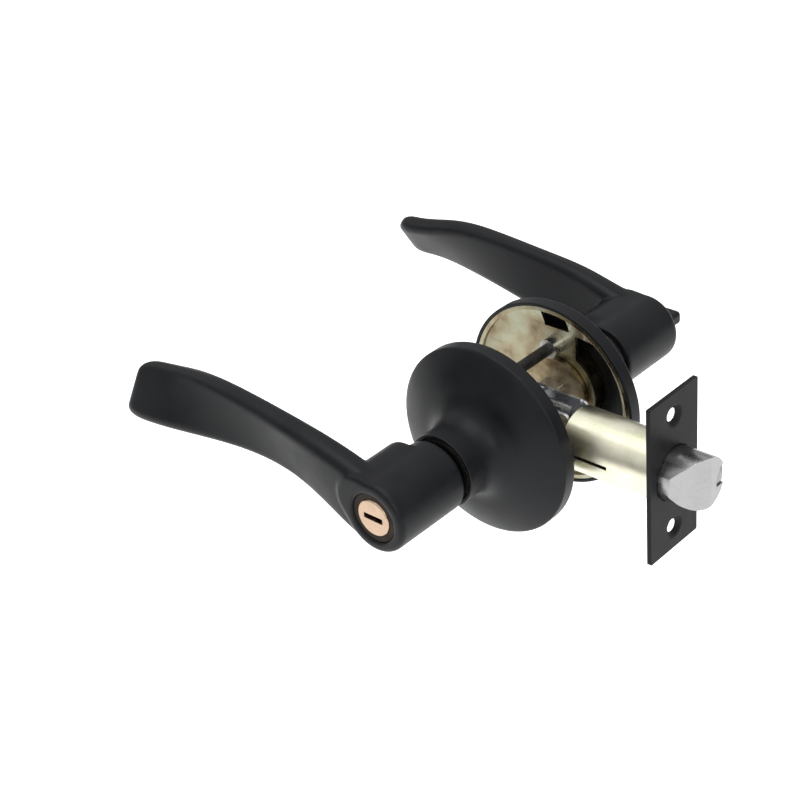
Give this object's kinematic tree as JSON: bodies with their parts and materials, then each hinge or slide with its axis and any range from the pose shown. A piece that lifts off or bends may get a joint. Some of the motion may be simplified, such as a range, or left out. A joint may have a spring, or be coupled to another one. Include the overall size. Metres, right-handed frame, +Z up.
{
  "type": "lever handle lockset",
  "caption": "Keyed tubular lever lockset with two levers on round roses, a sprung latch bolt with deadlatch plunger, a key cylinder and a turn button.",
  "frame": {"origin": "on the spindle axis, midway between the backs of the two roses", "axes": "+X from the spindle to the latch faceplate, +Y from the keyed outside lever to the inside lever, +Z up"},
  "size_m": [0.1837, 0.1612, 0.0666],
  "materials": {
    "satin_black": "satin powder coat",
    "yellow_zinc": "yellow chromate plating",
    "clear_zinc": "clear zinc plating",
    "chrome": "bright plating",
    "pale_brass": "fine turned",
    "dark_bronze": "satin",
    "spring_steel": "bright wire",
    "sintered_steel": "oiled sintered",
    "black_nylon": "matte"
  },
  "bodies": {
    "chassis": {"faceplate": "satin_black", "latch_tube": "yellow_zinc", "latch_front_bushing": "clear_zinc", "spring_stop": "clear_zinc", "latch_case_plates": "yellow_zinc", "latch_case_rivets": "clear_zinc", "bolt_spring": "spring_steel", "mounting_posts": "clear_zinc", "mounting_screws": "clear_zinc", "screw_collars": "clear_zinc", "inside_rose": "satin_black", "inside_mounting_plate": "yellow_zinc", "inside_bushing": "yellow_zinc", "inside_spring_housing": "yellow_zinc", "inside_return_spring": "spring_steel", "inside_circlip": "spring_steel", "inside_gap_washer": "black_nylon", "outside_rose": "satin_black", "outside_mounting_plate": "yellow_zinc", "outside_bushing": "yellow_zinc", "outside_spring_housing": "yellow_zinc", "outside_return_spring": "spring_steel", "outside_circlip": "spring_steel", "outside_gap_washer": "black_nylon"},
    "outside_lever": {"outside_lever": "satin_black", "outside_drive_sleeve": "clear_zinc", "outside_lever_catch": "clear_zinc", "outside_catch_spring": "spring_steel", "cylinder_body": "dark_bronze"},
    "inside_lever": {"inside_lever": "satin_black", "inside_drive_sleeve": "clear_zinc", "inside_lever_catch": "clear_zinc", "inside_catch_spring": "spring_steel", "button_guide": "black_nylon", "button_clip": "spring_steel"},
    "spindle_and_cam": {"spindle": "clear_zinc", "latch_cam": "sintered_steel"},
    "bolt": {"latch_bolt": "chrome", "bolt_drawbar": "clear_zinc", "drawbar_pins": "spring_steel", "plunger_spring": "spring_steel"},
    "deadlatch": {"deadlatch_plunger": "sintered_steel"},
    "key_plug": {"key_plug": "pale_brass", "cylinder_wafers": "pale_brass", "cylinder_clip": "spring_steel", "cylinder_tailpiece": "clear_zinc"},
    "turn_button": {"turn_button": "satin_black", "locking_bar": "clear_zinc", "lock_coupler": "sintered_steel"}
  },
  "joints": [
    {"name": "outside_lever_turn", "type": "hinge", "parent": "chassis", "child": "outside_lever", "pos_m": [0, 0, 0], "axis": [0, -1, 0], "range_deg": [0, 60], "stiffness_Nm_per_rad": 0.6, "springref_deg": -51.57},
    {"name": "inside_lever_turn", "type": "hinge", "parent": "chassis", "child": "inside_lever", "pos_m": [0, 0, 0], "axis": [0, -1, 0], "range_deg": [0, 60], "stiffness_Nm_per_rad": 0.6, "springref_deg": -51.57},
    {"name": "spindle_turn", "type": "hinge", "parent": "chassis", "child": "spindle_and_cam", "pos_m": [0, 0, 0], "axis": [0, -1, 0], "range_deg": [0, 60]},
    {"name": "bolt_slide", "type": "slide", "parent": "chassis", "child": "bolt", "axis": [-1, 0, 0], "range_m": [0, 0.0121], "deforming": ["bolt_spring"]},
    {"name": "deadlatch_slide", "type": "slide", "parent": "bolt", "child": "deadlatch", "axis": [-1, 0, 0], "range_m": [0, 0.008], "stiffness_N_per_m": 100, "springref_m": -0.006, "deforming": ["plunger_spring"]},
    {"name": "key_plug_turn", "type": "hinge", "parent": "outside_lever", "child": "key_plug", "pos_m": [0, 0, 0], "axis": [0, -1, 0], "range_deg": [-90, 90]},
    {"name": "turn_button_turn", "type": "hinge", "parent": "inside_lever", "child": "turn_button", "pos_m": [0, 0, 0], "axis": [0, 1, 0], "range_deg": [0, 90]}
  ],
  "couplings": [
    {"joint": "inside_lever_turn", "follows": "outside_lever_turn", "ratio": 1},
    {"joint": "spindle_turn", "follows": "outside_lever_turn", "ratio": 1},
    {"joint": "bolt_slide", "follows": "outside_lever_turn", "m_per_rad": 0.011555}
  ]
}
